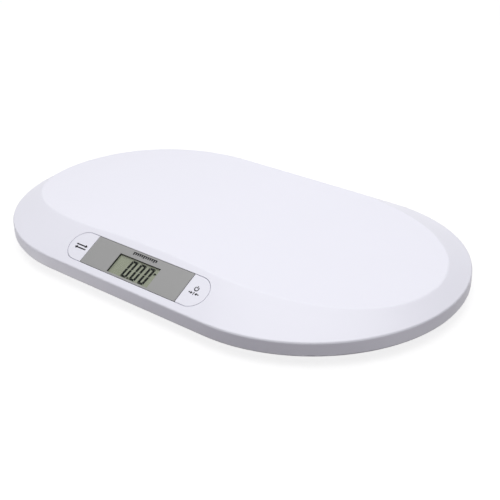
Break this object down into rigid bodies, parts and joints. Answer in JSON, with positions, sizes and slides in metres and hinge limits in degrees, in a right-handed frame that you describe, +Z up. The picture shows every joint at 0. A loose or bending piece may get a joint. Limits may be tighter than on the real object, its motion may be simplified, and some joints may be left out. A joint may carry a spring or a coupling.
{
  "type": "digital baby weighing scale",
  "caption": "Low oval weighing platform with a gently crowned top, a sloping rim that carries a display panel between push keys, and sprung-plate feet under a dished base.",
  "frame": {"origin": "on the floor under the centre of the platform, at the foot pads' undersides", "axes": "+Z up, X along the platform's long side, the display panel faces -Y"},
  "size_m": [0.55, 0.33, 0.052],
  "materials": {
    "white_shell": "satin white moulded ABS",
    "key_plastic": "satin white moulded ABS",
    "base_plastic": "fine spark-eroded texture",
    "fascia_grey": "grey printed polycarbonate sheet",
    "clear_lens": "clear polished acrylic",
    "lcd_glass": "liquid crystal cell, greenish grey",
    "lcd_reflector": "grey-green reflective film",
    "contact_rubber": "striped conductive elastomer",
    "frame_plastic": "black moulded ABS",
    "board_green": "solder-masked glass-fibre board",
    "black_resin": "domed potting resin",
    "socket_nylon": "natural nylon",
    "switch_black": "moulded switch body",
    "switch_button": "moulded switch button",
    "cell_steel": "stamped spring steel",
    "foot_plastic": "moulded ABS",
    "foot_rubber": "moulded soft rubber",
    "battery_jacket": "plain printed jacket",
    "nickel_contact": "nickel-plated spring strip",
    "screw_steel": "zinc-plated screw",
    "gauge_silicone": "white silicone over strain gauges"
  },
  "bodies": {
    "scale": {"base_cover": "base_plastic", "base_screws": "screw_steel", "battery_back": "battery_jacket", "battery_front": "battery_jacket", "board_screws": "screw_steel", "bridge_contact": "nickel_contact", "cap_screws": "screw_steel", "cell_cap_back_left": "base_plastic", "cell_cap_back_right": "base_plastic", "cell_cap_front_left": "base_plastic", "cell_cap_front_right": "base_plastic", "contact_strips": "contact_rubber", "controller_blob": "black_resin", "display_fascia": "fascia_grey", "display_frame": "frame_plastic", "display_lens": "clear_lens", "foot_back_left": "foot_plastic", "foot_back_right": "foot_plastic", "foot_front_left": "foot_plastic", "foot_front_right": "foot_plastic", "foot_pad_back_left": "foot_rubber", "foot_pad_back_right": "foot_rubber", "foot_pad_front_left": "foot_rubber", "foot_pad_front_right": "foot_rubber", "frame_screws": "screw_steel", "gauge_patches": "gauge_silicone", "lcd_glass": "lcd_glass", "lcd_reflector": "lcd_reflector", "lead_sockets": "socket_nylon", "load_cell_back_left": "cell_steel", "load_cell_back_right": "cell_steel", "load_cell_front_left": "cell_steel", "load_cell_front_right": "cell_steel", "main_board": "board_green", "negative_contact": "nickel_contact", "platform_shell": "white_shell", "positive_contact": "nickel_contact", "power_switch": "switch_black", "unit_switch": "switch_black"},
    "unit_key": {"unit_key": "key_plastic", "unit_switch_plunger": "switch_button"},
    "power_key": {"power_key": "key_plastic", "power_switch_plunger": "switch_button"},
    "battery_door": {"battery_door": "base_plastic"}
  },
  "joints": [
    {"name": "unit_key_press", "type": "slide", "parent": "scale", "child": "unit_key", "axis": [0, 0.474, -0.8805], "range_m": [0, 0.0005], "stiffness_N_per_m": 1600, "springref_m": -0.0005},
    {"name": "power_key_press", "type": "slide", "parent": "scale", "child": "power_key", "axis": [0, 0.474, -0.8805], "range_m": [0, 0.0005], "stiffness_N_per_m": 1600, "springref_m": -0.0005},
    {"name": "battery_door_swing", "type": "hinge", "parent": "scale", "child": "battery_door", "pos_m": [0, -0.013, 0.0073], "axis": [-1, 0, 0], "range_deg": [0, 60]}
  ]
}
